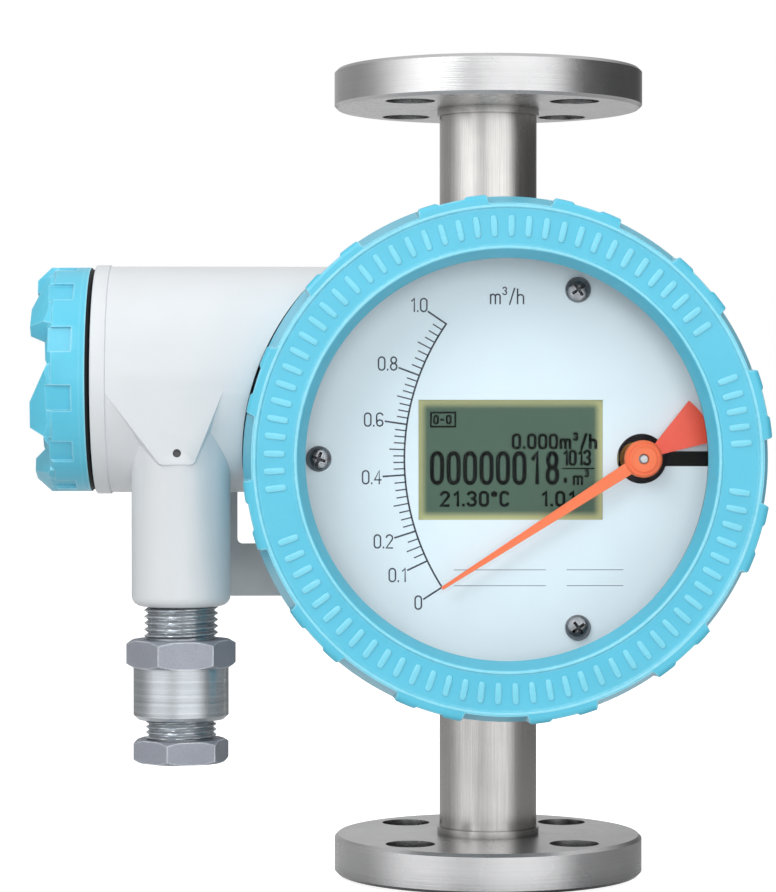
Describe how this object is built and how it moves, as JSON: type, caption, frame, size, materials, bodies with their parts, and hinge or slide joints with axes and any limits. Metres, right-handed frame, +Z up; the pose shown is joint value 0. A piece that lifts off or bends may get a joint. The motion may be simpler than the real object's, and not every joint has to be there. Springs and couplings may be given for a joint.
{
  "type": "rotameter",
  "caption": "Metal-tube rotameter with flanged ends, round dial with pointer and display, side terminal chamber and cable gland.",
  "frame": {"origin": "centre of the lower flange's sealing face, where the inlet port opens", "axes": "+Z up along the measuring tube, towards the outlet; -Y towards the dial's reader; the terminal arm points to -X"},
  "size_m": [0.207, 0.1515, 0.25],
  "materials": {
    "flange_steel": "turned stainless steel, satin",
    "tube_steel": "drawn stainless steel, satin",
    "turned_steel": "fine turned stainless steel",
    "spring_steel": "dark spring steel",
    "screw_steel": "bright stainless screws",
    "bracket_steel": "dull grey plate",
    "zinc_plate": "bright bluish zinc plating",
    "white_paint": "smooth semi-gloss white coating on a casting",
    "blue_paint": "smooth semi-gloss light blue coating",
    "window_glass": "clear flat glass",
    "black_rubber": "black rubber",
    "dial_white": "matt white dial with dark print",
    "display_frame": "edge-lit olive frame",
    "display_glass": "greenish grey liquid-crystal panel",
    "circuit_board": "green solder mask",
    "movement_alloy": "plain machined aluminium",
    "brass": "plain brass",
    "magnet_plate": "nickel-plated magnet",
    "black_plastic": "black moulded plastic",
    "pointer_orange": "orange paint",
    "tail_red": "bright orange-red paint"
  },
  "bodies": {
    "meter_body": {"lower_flange": "flange_steel", "upper_flange": "flange_steel", "measuring_tube": "tube_steel", "lower_guide": "turned_steel", "upper_guide": "turned_steel", "lower_circlip": "spring_steel", "upper_circlip": "spring_steel", "lower_saddle": "tube_steel", "upper_saddle": "tube_steel", "mounting_bracket": "bracket_steel", "housing_screws": "screw_steel", "saddle_screws": "screw_steel", "indicator_housing": "white_paint", "front_cover_o_ring": "black_rubber", "gland_body": "zinc_plate", "gland_seal": "black_rubber", "dial_plate": "dial_white", "dial_screws": "screw_steel", "dial_pillars": "brass", "display_frame": "display_frame", "display_glass": "display_glass", "display_board": "circuit_board", "main_board": "circuit_board", "board_pillars": "brass", "movement_frame": "movement_alloy", "movement_bridge": "movement_alloy", "front_bearing": "brass", "rear_bearing": "brass", "terminal_block": "black_plastic", "terminal_screws": "screw_steel"},
    "float": {"float_body": "turned_steel", "float_rod": "turned_steel", "float_magnet": "magnet_plate"},
    "pointer": {"pointer_shaft": "turned_steel", "pointer_needle": "pointer_orange", "pointer_tail": "tail_red", "follower_lever": "movement_alloy", "follower_magnet": "magnet_plate", "lever_counterweight": "brass"},
    "cover_window": {"cover_glass": "window_glass", "glass_gasket": "black_rubber"},
    "front_cover": {"front_cover": "blue_paint", "glass_retainer": "movement_alloy"},
    "cap_seal": {"end_cap_o_ring": "black_rubber"},
    "end_cap": {"end_cap": "blue_paint"},
    "gland_thrust": {"gland_washer": "zinc_plate"},
    "gland_nut": {"gland_nut": "zinc_plate"}
  },
  "joints": [
    {"name": "float_travel", "type": "slide", "parent": "meter_body", "child": "float", "axis": [0, 0, 1], "range_m": [0, 0.04]},
    {"name": "pointer_turn", "type": "hinge", "parent": "meter_body", "child": "pointer", "pos_m": [0.0393, -0.06, 0.13], "axis": [0, 1, 0], "range_deg": [0, 67.2]},
    {"name": "cover_slide", "type": "slide", "parent": "meter_body", "child": "cover_window", "axis": [0, -1, 0], "range_m": [0, 0.012]},
    {"name": "cover_turn", "type": "hinge", "parent": "cover_window", "child": "front_cover", "pos_m": [0, -0.09, 0.13], "axis": [0, -1, 0], "range_deg": [0, 2160]},
    {"name": "cap_slide", "type": "slide", "parent": "meter_body", "child": "cap_seal", "axis": [-1, 0, 0], "range_m": [0, 0.01]},
    {"name": "cap_turn", "type": "hinge", "parent": "cap_seal", "child": "end_cap", "pos_m": [-0.12, -0.06, 0.1527], "axis": [-1, 0, 0], "range_deg": [0, 1800]},
    {"name": "nut_slide", "type": "slide", "parent": "meter_body", "child": "gland_thrust", "axis": [0, 0, -1], "range_m": [0, 0.0045]},
    {"name": "nut_turn", "type": "hinge", "parent": "gland_thrust", "child": "gland_nut", "pos_m": [-0.0914, -0.078, 0.05], "axis": [0, 0, -1], "range_deg": [0, 1080]}
  ],
  "couplings": [
    {"joint": "pointer_turn", "follows": "float_travel", "rad_per_m": 29.3},
    {"joint": "cover_slide", "follows": "cover_turn", "m_per_rad": 0.0003183},
    {"joint": "cap_slide", "follows": "cap_turn", "m_per_rad": 0.0003183},
    {"joint": "nut_slide", "follows": "nut_turn", "m_per_rad": 0.0002387}
  ]
}
